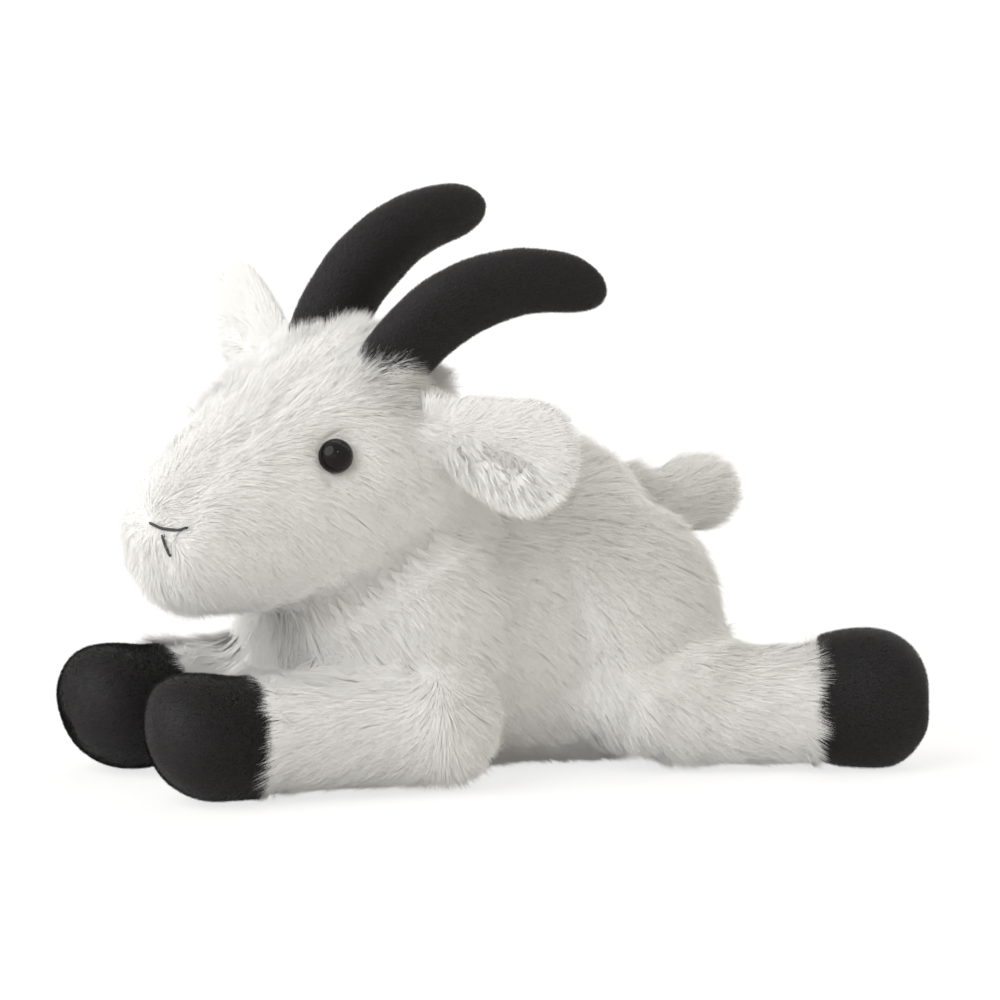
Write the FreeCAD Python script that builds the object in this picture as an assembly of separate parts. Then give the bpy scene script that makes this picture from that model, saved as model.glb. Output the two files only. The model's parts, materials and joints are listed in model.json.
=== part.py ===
import FreeCAD, Part
import math
import os

from FreeCAD import Matrix, Placement, Rotation, Vector

# sizes in mm: the goat faces -Y, its left is +X, it lies on the plane z = 0
skin_thickness = 2.5
joint_clearance = 0.4
seam_points = 14

# body
body_half_width = 55.0
back_height = 106.0
chest_y = -84.0
rump_y = 75.0
shoulder_radii = Vector(24, 30, 42)
shoulder_centre = Vector(33, -36, 52)
haunch_radii = Vector(27, 36, 45)
haunch_centre = Vector(36, 38, 48)
pellet_radii = Vector(30, 42, 13)
pellet_centre = Vector(0, 8, 22)

# head, measured from the neck pivot
neck_pivot = Vector(0, -38, 84)
neck_radius = 44.0
neck_core_radius = 22.0
head_turn = 10.0
head_tilt = 8.5
head_half_width = 46.0
head_half_height = 45.0
muzzle_reach = 103.0
gusset_half_width = 12.0

# eyes
eye_diameter = 12.0
eye_spot = Vector(33.5, -49.5, 39.5)
shank_radius = 2.2
shank_length = 9.0
washer_radius = 6.5
washer_thickness = 1.6

# face stitches
thread_width = 1.5
thread_depth = 1.0
nose_half_width = 8.0
nose_arc = 20.0
nose_low = 12.5
nose_aside = 9.5
nose_lean = 12.0
mouth_lean = 20.0
mouth_length = 8.0

# horns
horn_root = Vector(18.5, -20, 61.5)
horn_ball_radius = 12.0
horn_length = 95.0
horn_left_curl = 92.0
horn_left_rise = 62.0
horn_right_curl = 80.0
horn_right_rise = 66.0
horn_flare = 9.0
horn_deep = 14.5
horn_wide = 11.0
horn_tip_share = 0.68

# ears
ear_root = Vector(41, -15, 49)
ear_hinge_radius = 5.0
ear_hinge_length = 20.0
ear_length = 53.0
ear_height = 40.0
ear_thickness = 9.0
ear_left_sweep = 26.0
ear_left_lift = 0.0
ear_right_sweep = 8.0
ear_right_lift = 15.0

# tail
tail_pivot = Vector(0, 64, 85)
tail_ball_radius = 12.0
tail_length = 36.0
tail_half_thickness = 14.5

# legs
foreleg_radius = 22.5
foreleg_inside = 22.5
foreleg_pivot = Vector(foreleg_inside + foreleg_radius, -42, foreleg_radius + 1.5)
foreleg_toe_in = 8.0
foreleg_length = 64.0
fore_hoof_length = 39.0
fore_hoof_radius = 23.5
fore_hoof_height = 45.0
fore_toe_lift = 6.0
hindleg_radius = 22.5
hindleg_pivot = Vector(52, 50, hindleg_radius + 1.5)
hindleg_splay = 28.0
hindleg_length = 48.0
hind_hoof_length = 40.0
hind_hoof_radius = 20.5
hind_hoof_height = 51.0
hind_toe_lift = -1.0
fore_swing_in = 3.0
fore_swing_out = 25.0
hind_swing_in = 10.0
hind_swing_out = 25.0

# travel of the other joints, degrees either way or low and high
head_turn_range = 15.0
head_nod_low = -12.0
head_nod_high = 4.0
tail_range = 20.0
ear_range = 20.0
horn_range = 12.0


def turned(shape, pivot, axis, degrees):
    copy = shape.copy()
    copy.rotate(pivot, axis, degrees)
    return copy


def section(centre, across, upward, half_across, half_up, squareness=1.0):
    points = []
    for step in range(seam_points):
        angle = 2 * math.pi * step / seam_points
        cosine = math.cos(angle)
        sine = math.sin(angle)
        a = half_across * math.copysign(abs(cosine) ** squareness, cosine)
        b = half_up * math.copysign(abs(sine) ** squareness, sine)
        points.append(centre + across * a + upward * b)
    curve = Part.BSplineCurve()
    curve.interpolate(Points=points, PeriodicFlag=True)
    return Part.Wire(curve.toShape())


def loft(sections):
    return Part.makeLoft(sections, True, False)


def ellipsoid(centre, radii):
    ball = Part.makeSphere(1.0)
    matrix = Matrix()
    matrix.scale(radii.x, radii.y, radii.z)
    shape = ball.transformGeometry(matrix)
    shape.translate(centre)
    return shape


def box(x0, x1, y0, y1, z0, z1):
    return Part.makeBox(x1 - x0, y1 - y0, z1 - z0, Vector(x0, y0, z0))


def mirrored(shape):
    return shape.mirror(Vector(0, 0, 0), Vector(1, 0, 0))


def without(shape, tools):
    for tool in tools:
        shape = shape.cut(tool)
    return shape


def tidy(shape):
    solids = sorted(shape.Solids, key=lambda solid: -solid.Volume)
    return solids[0]


def above(shape, height):
    return shape.common(box(-400, 400, -400, 400, height, 400))


def along_y(rows, inset):
    sections = []
    for y, z, half_width, half_height in rows:
        wire = section(Vector(0, y, z), Vector(1, 0, 0), Vector(0, 0, 1),
                       half_width - inset, half_height - inset)
        sections.append(wire)
    return loft(sections)


def body_form(inset):
    height = back_height
    width = body_half_width
    middle = height * 0.46
    half = height - middle
    rows = [
        (chest_y + inset, 44, width * 0.36, half * 0.34),
        (chest_y + 7 + inset / 2, 45, width * 0.64, half * 0.64),
        (chest_y + 24, 47, width * 0.86, half * 0.88),
        (-30, middle, width * 0.96, half * 0.98),
        (10, middle, width * 0.97, half),
        (45, middle, width, half),
        (rump_y - 24, middle - 2, width * 0.92, half * 0.92),
        (rump_y - 7 - inset / 2, middle - 5, width * 0.66, half * 0.68),
        (rump_y - inset, middle - 6, width * 0.36, half * 0.38),
    ]
    form = along_y(rows, inset)
    grow = Vector(inset, inset, inset)
    for side in (1, -1):
        shoulder = Vector(side * shoulder_centre.x, shoulder_centre.y, shoulder_centre.z)
        haunch = Vector(side * haunch_centre.x, haunch_centre.y, haunch_centre.z)
        form = form.fuse(ellipsoid(shoulder, shoulder_radii - grow))
        form = form.fuse(ellipsoid(haunch, haunch_radii - grow))
    return above(form, inset)


def head_form(inset):
    width = head_half_width
    height = head_half_height
    reach = muzzle_reach
    rows = [
        (16 - inset, 27, width * 0.42, height * 0.46),
        (10 - inset / 2, 27, width * 0.70, height * 0.74),
        (-3, 28, width * 0.93, height * 0.95),
        (-19, 29, width, height),
        (-35, 25, width * 0.97, height * 0.99),
        (-52, 18.5, width * 0.89, height * 0.90),
        (-reach + 30, 12, width * 0.75, height * 0.76),
        (-reach + 14, 6.5, width * 0.61, height * 0.61),
        (-reach + 4 + inset / 2, 4, width * 0.45, height * 0.43),
        (-reach + inset, 3.5, width * 0.24, height * 0.24),
    ]
    form = along_y(rows, inset)
    return form.fuse(Part.makeSphere(neck_radius - inset))


def leg_frame(heading):
    angle = math.radians(heading)
    ahead = Vector(math.sin(angle), math.cos(angle), 0)
    return ahead, Vector(ahead.y, -ahead.x, 0)


def leg_form(pivot, heading, length, radius, inset):
    ahead, across = leg_frame(heading)
    ball = Part.makeSphere(radius + 1.0 - inset, pivot)
    rows = [
        (2, radius - 1.5, radius - 0.5),
        (length * 0.35, radius * 0.95, radius * 0.98),
        (length * 0.7, radius * 0.94, radius * 0.98),
        (length, radius * 0.97, radius),
    ]
    sections = []
    for distance, half_across, half_up in rows:
        centre = pivot + ahead * distance
        centre.z = max(half_up, 1.0)
        sections.append(section(centre, across, Vector(0, 0, 1), half_across - inset, half_up - inset))
    return above(ball.fuse(loft(sections)), inset)


def hoof_form(pivot, heading, length, leg_radius, hoof, inset):
    ahead, across = leg_frame(heading)
    hoof_length, hoof_radius, hoof_height, toe_lift = hoof
    half = hoof_height / 2
    rows = [
        (0, leg_radius * 0.97, leg_radius),
        (hoof_length * 0.22, hoof_radius * 0.98, half * 0.97),
        (hoof_length * 0.52, hoof_radius, half),
        (hoof_length * 0.78, hoof_radius * 0.84, half * 0.86),
        (hoof_length * 0.93, hoof_radius * 0.56, half * 0.60),
        (hoof_length, hoof_radius * 0.22, half * 0.25),
    ]
    sections = []
    for distance, half_across, half_up in rows:
        share = (hoof_length - inset) / hoof_length
        centre = pivot + ahead * (length + distance * share)
        centre.z = half - 1.0 + toe_lift * (distance / hoof_length) ** 2
        small = inset if distance < hoof_length * 0.95 else inset * 0.4
        sections.append(section(centre, across, Vector(0, 0, 1), half_across - small, half_up - small))
    return above(loft(sections), inset)


def leg_bay(pivot, heading, reach, radius, swing_low, swing_high, inset):
    grow = radius + joint_clearance + inset
    ahead_low, across_low = leg_frame(heading + swing_low)
    ahead_high, across_high = leg_frame(heading + swing_high)
    corners = [
        pivot - across_low * grow,
        pivot + across_high * grow,
        pivot + across_high * grow + ahead_high * reach,
        pivot + (ahead_high + ahead_low) * reach,
        pivot - across_low * grow + ahead_low * reach,
    ]
    flat = [Vector(point.x, point.y, -1) for point in corners]
    flat.append(flat[0])
    face = Part.Face(Part.makePolygon(flat))
    height = 2 * (radius + 1.0) + joint_clearance + inset + 1
    ball = Part.makeSphere(radius + 1.0 + joint_clearance + inset, pivot)
    return ball.fuse(face.extrude(Vector(0, 0, height)))


def ear_form(length, height, thickness):
    rows = [
        (2.5, 0.50, 0.80),
        (length * 0.22, 0.74, 1.00),
        (length * 0.50, 0.98, 1.00),
        (length * 0.74, 0.96, 0.85),
        (length * 0.90, 0.70, 0.62),
        (length * 0.98, 0.34, 0.34),
    ]
    sections = []
    for distance, tall, thick in rows:
        drop = -0.10 * height * math.sin(math.pi * distance / length)
        wire = section(Vector(distance, 0, drop), Vector(0, 1, 0), Vector(0, 0, 1),
                       thickness / 2 * thick, height / 2 * tall)
        sections.append(wire)
    return loft(sections)


def ear_parts():
    blade = ear_form(ear_length, ear_height, ear_thickness)
    roll = Part.makeCylinder(ear_hinge_radius, ear_hinge_length,
                             Vector(0, 0, -ear_hinge_length / 2), Vector(0, 0, 1))
    inner = ear_form(ear_length, ear_height, ear_thickness)
    squeeze = Matrix()
    squeeze.scale(0.84, 1.0, 0.80)
    inner = inner.transformGeometry(squeeze)
    inner.translate(Vector(6.5, 0, -0.5))
    front = box(0, 200, -100, -0.4, -100, 100)
    lining = tidy(inner.common(front).common(blade))
    outer = tidy(blade.fuse(roll).cut(lining))
    return outer, lining


def ear_placement(sweep, lift):
    turn = Rotation(Vector(0, 0, 1), sweep)
    raise_up = Rotation(Vector(0, 1, 0), -lift)
    return Placement(ear_root, turn.multiply(raise_up))


def horn_form(inset, curl, rise):
    flare = math.radians(horn_flare)
    side = Vector(math.cos(flare), -math.sin(flare) * 0.4, 0)
    sections = []
    shares = [(0.0, 1.0), (0.25, 1.0), (0.5, 0.94), (0.72, 0.82), (0.88, horn_tip_share),
              (0.965, 0.42), (1.0, 0.16)]
    radius = horn_length / math.radians(curl)
    start = math.radians(rise)
    for share, size in shares:
        length = share * (1 - inset / horn_length)
        heading = start - math.radians(curl) * length
        back = radius * (math.sin(start) - math.sin(heading))
        up = radius * (math.cos(heading) - math.cos(start))
        centre = horn_root + Vector(horn_length * length * math.sin(flare), back, up)
        outward = Vector(0, -math.sin(heading), math.cos(heading))
        small = inset if share < 0.9 else inset * 0.5
        sections.append(section(centre, side, outward, horn_wide * size - small, horn_deep * size - small))
    ball = Part.makeSphere(horn_ball_radius - inset, horn_root)
    return ball.fuse(loft(sections))


def tail_form(inset):
    rows = [(2, 0.72), (0.30 * tail_length, 0.94), (0.60 * tail_length, 1.0),
            (0.85 * tail_length, 0.78), (0.97 * tail_length, 0.42)]
    sections = []
    for distance, size in rows:
        reach = distance * (1 - inset / tail_length)
        centre = tail_pivot + Vector(0, reach, 0.08 * reach)
        small = inset if size > 0.5 else inset * 0.5
        half = tail_half_thickness * size - small
        sections.append(section(centre, Vector(1, 0, 0), Vector(0, 0, 1), half, half))
    ball = Part.makeSphere(tail_ball_radius - inset, tail_pivot)
    return ball.fuse(loft(sections))


def eye_parts(surface):
    spot = eye_spot
    outward = Vector(0.86, -0.46, 0.22)
    outward.normalize()
    line = Part.makeLine(spot - outward * 30, spot + outward * 30)
    inside = line.common(surface)
    reach = max((vertex.Point - spot).dot(outward) for vertex in inside.Vertexes)
    seat = spot + outward * (reach - 2.8)
    radius = eye_diameter / 2
    dome = Part.makeSphere(radius, seat)
    half = Part.makeCylinder(radius + 1, radius + 1, seat, outward)
    dome = dome.common(half)
    shank = Part.makeCylinder(shank_radius, shank_length, seat - outward * shank_length, outward)
    eye = tidy(dome.fuse(shank))
    washer_seat = seat - outward * (skin_thickness + washer_thickness)
    washer = Part.makeCylinder(washer_radius, washer_thickness, washer_seat, outward)
    washer = washer.cut(Part.makeCylinder(shank_radius, washer_thickness, washer_seat, outward))
    pocket = Part.makeCylinder(radius, 12, seat, outward)
    return eye, washer, pocket


def face_stitches(outer):
    shell = outer.cut(head_form(thread_depth))
    front = box(-40, 40, -muzzle_reach - 20, -muzzle_reach + 24, -60, 60)
    shell = shell.common(front)
    nose_centre = Vector(0, -muzzle_reach - 30, nose_low + nose_arc)
    big = Part.makeCylinder(nose_arc + thread_width / 2, 80, nose_centre, Vector(0, 1, 0))
    small = Part.makeCylinder(nose_arc - thread_width / 2, 80, nose_centre, Vector(0, 1, 0))
    wedge = box(-nose_half_width, nose_half_width, -300, 300, -60, nose_low + nose_arc / 2)
    ring = turned(big.cut(small).common(wedge), Vector(0, 0, nose_low), Vector(0, 1, 0), -nose_lean)
    ring.translate(Vector(nose_aside, 0, 0))
    nose = tidy(ring.common(shell))
    mouth_top = nose_low - thread_width * 1.4
    bar = box(-thread_width / 2, thread_width / 2, -muzzle_reach - 30, 0, mouth_top - mouth_length, mouth_top)
    bar = turned(bar, Vector(0, 0, mouth_top), Vector(0, 1, 0), -mouth_lean)
    bar.translate(Vector(nose_aside, 0, 0))
    mouth = tidy(bar.common(shell))
    return nose, mouth


parts = {}
turn = Rotation(Vector(0, 0, 1), head_turn)
tilt = Rotation(Vector(0, 1, 0), head_tilt)
head_place = Placement(neck_pivot, turn.multiply(tilt))

# torso
body_outer = body_form(0)
body_inner = body_form(skin_thickness)
for side in (1, -1):
    for pivot, heading, reach, radius, low, high in (
        (foreleg_pivot, 180 + foreleg_toe_in, 160, foreleg_radius, -fore_swing_out, fore_swing_in),
        (hindleg_pivot, hindleg_splay, 160, hindleg_radius, -hind_swing_in, hind_swing_out),
    ):
        bay = leg_bay(pivot, heading, reach, radius, low, high, 0)
        deep = leg_bay(pivot, heading, reach, radius, low, high, skin_thickness)
        if side < 0:
            bay = mirrored(bay)
            deep = mirrored(deep)
        body_outer = body_outer.cut(bay)
        body_inner = body_inner.cut(deep)
sockets = ((neck_pivot, neck_radius), (tail_pivot, tail_ball_radius))
for pivot, radius in sockets:
    body_outer = body_outer.cut(Part.makeSphere(radius + joint_clearance, pivot))
    body_inner = body_inner.cut(Part.makeSphere(radius + joint_clearance + skin_thickness, pivot))
wags = (-tail_range, 0, tail_range)
for gap in (joint_clearance, joint_clearance + skin_thickness):
    tail_room = [turned(tail_form(-gap), tail_pivot, Vector(0, 0, 1), wag) for wag in wags]
    head_room = []
    for nod, sway in ((0, 0), (head_nod_low, 0), (head_nod_high, 0), (head_nod_high, head_turn_range),
                      (head_nod_high, -head_turn_range), (head_nod_low, head_turn_range),
                      (head_nod_low, -head_turn_range)):
        placed = head_form(-gap - 0.6)
        placed.rotate(Vector(0, 0, 0), Vector(1, 0, 0), nod)
        placed.Placement = head_place.multiply(placed.Placement)
        head_room.append(turned(placed, neck_pivot, Vector(0, 0, 1), sway))
    if gap > joint_clearance:
        body_inner = without(body_inner, tail_room + head_room)
    else:
        body_outer = without(body_outer, tail_room + head_room)
body_outer = tidy(body_outer)
body_inner = tidy(body_inner)
body_skin = body_outer.cut(body_inner)
pellet_bag = ellipsoid(pellet_centre, pellet_radii)
belly_zone = box(-300, 300, -300, 300, -1, 6)
belly = tidy(body_skin.common(belly_zone))
upper = body_skin.cut(belly_zone)
zigzag = []
for step in range(9):
    start = Vector(-3 if step % 2 else 3, -24 + 4 * step, 0)
    end = Vector(3 if step % 2 else -3, -20 + 4 * step, 0)
    run = end - start
    side = Vector(-run.y, run.x, 0)
    side.normalize()
    side = side * (thread_width / 2)
    corners = [start + side, end + side, end - side, start - side, start + side]
    zigzag.append(Part.Face(Part.makePolygon(corners)).extrude(Vector(0, 0, thread_depth)))
stitch = zigzag[0].multiFuse(zigzag[1:]).removeSplitter()
parts["body_side_left"] = tidy(upper.common(box(0, 300, -300, 300, -10, 300)))
parts["body_side_right"] = tidy(upper.common(box(-300, 0, -300, 300, -10, 300)))
parts["belly_panel"] = tidy(belly.cut(stitch))
parts["belly_closing_stitch"] = tidy(stitch)
parts["pellet_bag"] = pellet_bag
parts["body_stuffing"] = tidy(body_inner.cut(pellet_bag))

# head, built square to the axes and placed afterwards
head_outer = head_form(0)
nose, mouth = face_stitches(head_outer)
eye, washer, eye_pocket = eye_parts(head_outer)
ear_outer, ear_lining = ear_parts()
horn_shapes = {"left": (horn_left_curl, horn_left_rise), "right": (horn_right_curl, horn_right_rise)}
ear_spots = {"left": ear_placement(ear_left_sweep, ear_left_lift),
             "right": ear_placement(ear_right_sweep, ear_right_lift)}
head_inner = head_form(skin_thickness)
head_cut = head_outer
for side in ("left", "right"):
    for extra in (0, skin_thickness):
        roll = Part.makeCylinder(ear_hinge_radius + joint_clearance + extra,
                                 ear_hinge_length + 2 * joint_clearance + 2 * extra,
                                 Vector(0, 0, -ear_hinge_length / 2 - joint_clearance - extra),
                                 Vector(0, 0, 1))
        roll.Placement = ear_spots[side].multiply(roll.Placement)
        gap = joint_clearance + extra
        blade = ear_form(ear_length, ear_height + 2 * gap, ear_thickness + 2 * gap)
        blade.Placement = ear_spots[side]
        axis = ear_spots[side].Rotation.multVec(Vector(0, 0, 1))
        tools = [roll, Part.makeSphere(horn_ball_radius + gap, horn_root)]
        for flap in (-ear_range, 0, ear_range):
            tools.append(turned(blade, ear_root, axis, flap))
        for bend in (-horn_range, 0, horn_range):
            tools.append(turned(horn_form(-gap, *horn_shapes[side]), horn_root, Vector(1, 0, 0), bend))
        if side == "right":
            tools = [mirrored(tool) for tool in tools]
        if extra:
            head_inner = without(head_inner, tools)
        else:
            head_cut = without(head_cut, tools)
head_inner = head_inner.cut(Part.makeSphere(neck_core_radius + joint_clearance))
head_skin = head_cut.cut(head_inner).cut(Part.makeSphere(neck_core_radius + joint_clearance))
tools = [eye, washer, eye_pocket, mirrored(eye), mirrored(washer), mirrored(eye_pocket), nose, mouth]
head_skin = without(head_skin, tools)
head_fill = without(head_inner, tools)
chin_zone = box(-300, 300, -300, 6, -300, -17)
crown_zone = box(-gusset_half_width, gusset_half_width, -300, 300, -17, 300)
head_parts = {}
head_parts["chin_panel"] = tidy(head_skin.common(chin_zone))
rest = head_skin.cut(chin_zone)
head_parts["head_gusset"] = tidy(rest.common(crown_zone))
rest = rest.cut(crown_zone)
head_parts["head_side_left"] = tidy(rest.common(box(0, 300, -300, 300, -300, 300)))
head_parts["head_side_right"] = tidy(rest.common(box(-300, 0, -300, 300, -300, 300)))
head_parts["head_stuffing"] = tidy(head_fill)
head_parts["neck_stuffing"] = Part.makeSphere(neck_core_radius)
head_parts["nose_stitch"] = nose
head_parts["mouth_stitch"] = mouth
for side in ("left", "right"):
    horn_inner = tidy(horn_form(skin_thickness, *horn_shapes[side]))
    horn_skin = tidy(horn_form(0, *horn_shapes[side]).cut(horn_inner))
    ear_back = ear_outer.copy()
    ear_front = ear_lining.copy()
    ear_back.Placement = ear_spots[side]
    ear_front.Placement = ear_spots[side]
    group = {
        "eye_" + side: eye,
        "eye_washer_" + side: washer,
        "ear_outer_" + side: ear_back,
        "ear_lining_" + side: ear_front,
        "horn_skin_" + side: horn_skin,
        "horn_stuffing_" + side: horn_inner,
    }
    for name, shape in group.items():
        head_parts[name] = mirrored(shape) if side == "right" else shape
for name, shape in head_parts.items():
    moved = shape.copy()
    moved.Placement = head_place.multiply(moved.Placement)
    parts[name] = moved

# tail
tail_inner = tidy(tail_form(skin_thickness))
parts["tail_skin"] = tidy(tail_form(0).cut(tail_inner))
parts["tail_stuffing"] = tail_inner

# legs
leg_rows = (
    ("foreleg", "fore", foreleg_pivot, 180 + foreleg_toe_in, foreleg_length, foreleg_radius,
     (fore_hoof_length, fore_hoof_radius, fore_hoof_height, fore_toe_lift)),
    ("hindleg", "hind", hindleg_pivot, hindleg_splay, hindleg_length, hindleg_radius,
     (hind_hoof_length, hind_hoof_radius, hind_hoof_height, hind_toe_lift)),
)
for leg, short, pivot, heading, length, radius, sizes in leg_rows:
    leg_outer = leg_form(pivot, heading, length, radius, 0)
    leg_inner = tidy(leg_form(pivot, heading, length, radius, skin_thickness))
    hoof = hoof_form(pivot, heading, length, radius, sizes, 0)
    fill = hoof_form(pivot, heading, length, radius, sizes, skin_thickness)
    group = {
        "_skin": tidy(leg_outer.cut(leg_inner)),
        "_stuffing": leg_inner,
        "_hoof_cover": tidy(hoof.cut(fill)),
        "_hoof_stuffing": tidy(fill),
    }
    for ending, shape in group.items():
        parts[leg + "_left" + ending] = shape
        parts[leg + "_right" + ending] = mirrored(shape)

# the origin goes to the middle of the whole part's footprint
low_y = min(shape.optimalBoundingBox(False, False).YMin for shape in parts.values())
high_y = max(shape.optimalBoundingBox(False, False).YMax for shape in parts.values())
low_x = min(shape.optimalBoundingBox(False, False).XMin for shape in parts.values())
high_x = max(shape.optimalBoundingBox(False, False).XMax for shape in parts.values())
centring = Vector(-(low_x + high_x) / 2, -(low_y + high_y) / 2, 0)
os.makedirs("parts", exist_ok=True)
for name, shape in parts.items():
    placed = shape.copy()
    placed.translate(centring)
    placed.exportStep("parts/" + name + ".step")
    print(name, len(shape.Solids), round(shape.Volume), shape.isValid())

# pivots and axes for the record
print("centring", centring)
print("neck", neck_pivot + centring, turn.multVec(Vector(1, 0, 0)))
print("tail", tail_pivot + centring)
print("foreleg", foreleg_pivot + centring, "hindleg", hindleg_pivot + centring)
for side in ("left", "right"):
    flip = 1 if side == "left" else -1
    root = Vector(ear_root.x * flip, ear_root.y, ear_root.z)
    axis = ear_spots[side].Rotation.multVec(Vector(0, 0, 1))
    axis = Vector(axis.x * flip, axis.y, axis.z)
    print("ear", side, head_place.multVec(root) + centring, head_place.Rotation.multVec(axis))
    base = Vector(horn_root.x * flip, horn_root.y, horn_root.z)
    print("horn", side, head_place.multVec(base) + centring, head_place.Rotation.multVec(Vector(1, 0, 0)))
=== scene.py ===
import json
import math

import bmesh
import bpy
import numpy as np
from mathutils import Matrix, Vector, noise
from mathutils.bvhtree import BVHTree
from mathutils.kdtree import KDTree

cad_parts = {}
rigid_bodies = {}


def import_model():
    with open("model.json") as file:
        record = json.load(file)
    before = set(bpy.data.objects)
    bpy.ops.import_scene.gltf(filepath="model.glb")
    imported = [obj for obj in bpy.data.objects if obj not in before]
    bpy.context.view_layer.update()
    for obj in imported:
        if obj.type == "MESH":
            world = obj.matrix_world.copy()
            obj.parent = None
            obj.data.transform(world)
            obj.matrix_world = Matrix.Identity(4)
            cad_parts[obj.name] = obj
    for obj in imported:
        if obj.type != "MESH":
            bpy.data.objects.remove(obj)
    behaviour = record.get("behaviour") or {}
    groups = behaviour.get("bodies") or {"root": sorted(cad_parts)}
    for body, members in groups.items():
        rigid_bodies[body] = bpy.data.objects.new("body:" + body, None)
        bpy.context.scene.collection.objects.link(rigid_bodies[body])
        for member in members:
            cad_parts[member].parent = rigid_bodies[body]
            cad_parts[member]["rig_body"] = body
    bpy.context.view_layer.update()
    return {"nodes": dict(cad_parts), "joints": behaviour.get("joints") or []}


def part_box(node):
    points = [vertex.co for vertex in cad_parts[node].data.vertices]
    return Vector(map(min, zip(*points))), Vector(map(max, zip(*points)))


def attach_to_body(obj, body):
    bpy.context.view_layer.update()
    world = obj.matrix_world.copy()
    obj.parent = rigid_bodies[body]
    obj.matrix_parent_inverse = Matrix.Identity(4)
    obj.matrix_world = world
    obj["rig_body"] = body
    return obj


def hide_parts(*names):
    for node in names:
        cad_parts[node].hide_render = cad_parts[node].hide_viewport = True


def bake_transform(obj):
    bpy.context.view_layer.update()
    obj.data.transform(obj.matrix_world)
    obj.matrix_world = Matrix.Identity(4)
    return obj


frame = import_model()
scene = bpy.context.scene
joints = {joint["name"]: joint for joint in frame["joints"]}
print("frame loaded")


# camera, lights and floor: metres and degrees
shot = {"azimuth": 62.0, "elevation": 9.0, "distance": 3.0, "fieldWidth": 0.350, "aimRight": 0.01325,
        "aimUp": 0.08995, "sensor": 36.0, "farthest": 50.0}
studio = {"worldLight": 0.46, "worldTint": (1.0, 0.925, 0.78), "lampTint": (0.975, 0.99, 1.0),
          "floorGlow": 0.77, "floorShade": 0.27, "floorBounce": 0.85, "floorReach": 6.0}
lamps = {"keyLight": (2.34, 5.0, 38.0, 60.0), "fillLight": (0.66, 28.0, 2.0, 80.0),
         "backLight": (0.90, 215.0, 42.0, 70.0),
         "sparkLight": (0.16, 80.0, 38.0, 4.0)}  # energy, azimuth, height, softness


def makeCamera():
    turn = math.radians(shot["azimuth"])
    rise = math.radians(shot["elevation"])
    right = Vector((math.cos(turn), math.sin(turn), 0))
    ahead = Vector((-math.sin(turn) * math.cos(rise), math.cos(turn) * math.cos(rise), -math.sin(rise)))
    up = right.cross(ahead)
    aim = right * shot["aimRight"] + up * shot["aimUp"]
    data = bpy.data.cameras.new("camera")
    data.sensor_width = shot["sensor"]
    data.lens = shot["sensor"] * shot["distance"] / shot["fieldWidth"]
    data.clip_end = shot["farthest"]
    camera = bpy.data.objects.new("camera", data)
    camera.matrix_world = Matrix.Translation(aim - ahead * shot["distance"]) @ Matrix(
        (right, up, -ahead)).transposed().to_4x4()
    scene.collection.objects.link(camera)
    scene.camera = camera


# a node's socket: arithmetic on it adds Math nodes
class Wire:
    def __init__(self, shop, socket):
        self.shop = shop
        self.socket = socket

    def output(self, name):  # another output of the same node
        return Wire(self.shop, self.socket.node.outputs[name])

    def math(self, operation, other, flipped=False):
        pair = (other, self) if flipped else (self, other)
        return self.shop.add("ShaderNodeMath", {"operation": operation}, {0: pair[0], 1: pair[1]})

    def __add__(self, other):
        return self.math("ADD", other)

    def __radd__(self, other):
        return self.math("ADD", other, True)

    def __sub__(self, other):
        return self.math("SUBTRACT", other)

    def __rsub__(self, other):
        return self.math("SUBTRACT", other, True)

    def __mul__(self, other):
        return self.math("MULTIPLY", other)

    def __rmul__(self, other):
        return self.math("MULTIPLY", other, True)

    def __truediv__(self, other):
        return self.math("DIVIDE", other)

    def __rtruediv__(self, other):
        return self.math("DIVIDE", other, True)

    def __pow__(self, other):
        return self.math("POWER", other)


# the one place where nodes are added to a tree
class Shop:
    def __init__(self, tree):
        self.tree = tree
        self.tree.nodes.clear()

    def add(self, kind, settings=None, sockets=None, out=0):
        node = self.tree.nodes.new(kind)
        for name, value in (settings or {}).items():
            if name == "stops":
                ramp = node.color_ramp
                while len(ramp.elements) < len(value):
                    ramp.elements.new(0.5)
                for stop, (place, colour) in zip(ramp.elements, value):
                    stop.position = place
                    stop.color = colour
            else:
                setattr(node, name, value)
        for name, value in (sockets or {}).items():
            self.feed(node, name, value)
        return Wire(self, node.outputs[out]) if len(node.outputs) else None

    def feed(self, node, name, value):
        socket = node.inputs[name]
        if isinstance(value, Wire):
            self.tree.links.new(value.socket, socket)
        else:
            socket.default_value = value

    def mixColour(self, share, first, second):
        return self.add("ShaderNodeMix", {"data_type": "RGBA"}, {0: share, 6: first, 7: second}, 2)

    def vector(self, operation, first, second=None, scale=None, out=0):
        sockets = {0: first}
        if second is not None:
            sockets[1] = second
        if scale is not None:
            sockets["Scale"] = scale
        return self.add("ShaderNodeVectorMath", {"operation": operation}, sockets, out)


def newMaterial(name):
    material = bpy.data.materials.new(name)
    material.use_nodes = True
    return material, Shop(material.node_tree)


def finishMaterial(shop, shader):
    shop.add("ShaderNodeOutputMaterial", {}, {"Surface": shader})


def rgb(red, green, blue):
    return (red, green, blue, 1.0)


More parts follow.
